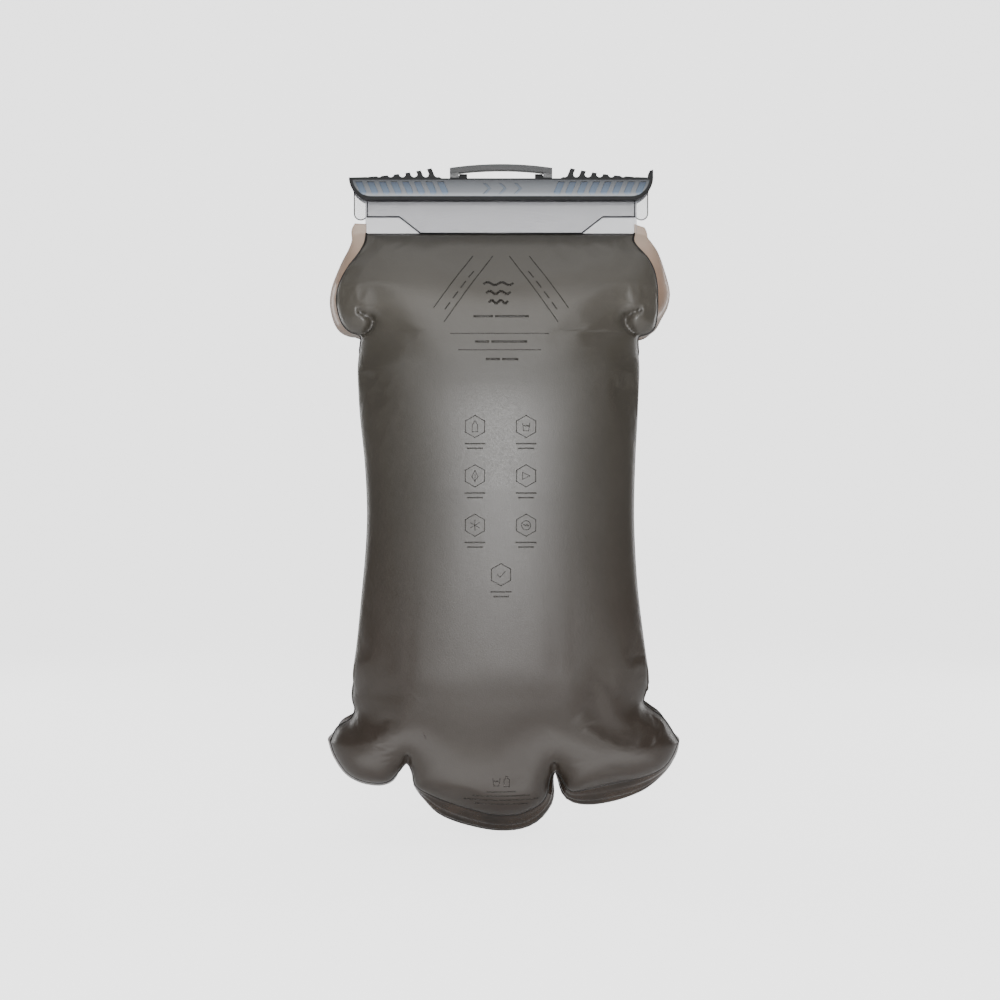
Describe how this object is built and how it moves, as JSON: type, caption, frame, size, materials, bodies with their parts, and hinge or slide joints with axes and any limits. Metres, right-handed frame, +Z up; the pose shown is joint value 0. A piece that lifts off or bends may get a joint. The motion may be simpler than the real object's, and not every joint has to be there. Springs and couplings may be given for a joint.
{
  "type": "hydration bladder",
  "caption": "Soft welded water reservoir with a toothed slide closure, folding hanger, gusseted film bag and a valved quick-release hose port at the back.",
  "frame": {"origin": "middle of the underside of the hanger bar, where the bladder hangs from a hook", "axes": "+X to the right seen from the front and the way the closure slides off, -Y out of the printed front, +Z up"},
  "size_m": [0.205, 0.104, 0.3894],
  "materials": {
    "closure_plastic": "satin, translucent",
    "hanger_plastic": "satin",
    "clear_film": "glossy, clear",
    "clear_rail": "glossy, clear",
    "clear_plate": "satin, clear",
    "smoke_film": "matte, smoky and translucent",
    "gusset_film": "glossy, smoky and translucent",
    "port_plastic": "satin",
    "seal_rubber": "matte",
    "button_plastic": "satin",
    "spring_steel": "bright",
    "valve_plastic": "satin"
  },
  "bodies": {
    "bag": {"front_collar": "clear_film", "rear_collar": "clear_film", "front_lip_rail": "clear_rail", "rear_lip_rail": "clear_rail", "front_stiffener": "clear_plate", "rear_stiffener": "clear_plate", "front_panel": "smoke_film", "back_panel": "smoke_film", "side_gusset_left": "gusset_film", "side_gusset_right": "gusset_film", "bottom_gusset": "gusset_film", "port_flange": "port_plastic", "port_socket": "port_plastic", "socket_o_ring": "seal_rubber", "button_spring": "spring_steel", "valve_spring": "spring_steel", "valve_cage": "valve_plastic"},
    "closure": {"slide_closure": "closure_plastic"},
    "hanger": {"hanger_bail": "hanger_plastic"},
    "button": {"release_button": "button_plastic"},
    "valve": {"valve_poppet": "valve_plastic", "poppet_o_ring": "seal_rubber"}
  },
  "joints": [
    {"name": "closure_slide", "type": "slide", "parent": "bag", "child": "closure", "axis": [1, 0, 0], "range_m": [0, 0.185]},
    {"name": "hanger_pivot", "type": "hinge", "parent": "closure", "child": "hanger", "pos_m": [0, 0, -0.004], "axis": [1, 0, 0], "range_deg": [-75, 75]},
    {"name": "button_press", "type": "slide", "parent": "bag", "child": "button", "axis": [0, 0, -1], "range_m": [0, 0.0018], "stiffness_N_per_m": 800, "springref_m": -0.001, "deforming": ["button_spring"]},
    {"name": "valve_open", "type": "slide", "parent": "bag", "child": "valve", "axis": [0, -1, 0], "range_m": [0, 0.003], "stiffness_N_per_m": 300, "springref_m": -0.002, "deforming": ["valve_spring"]}
  ]
}
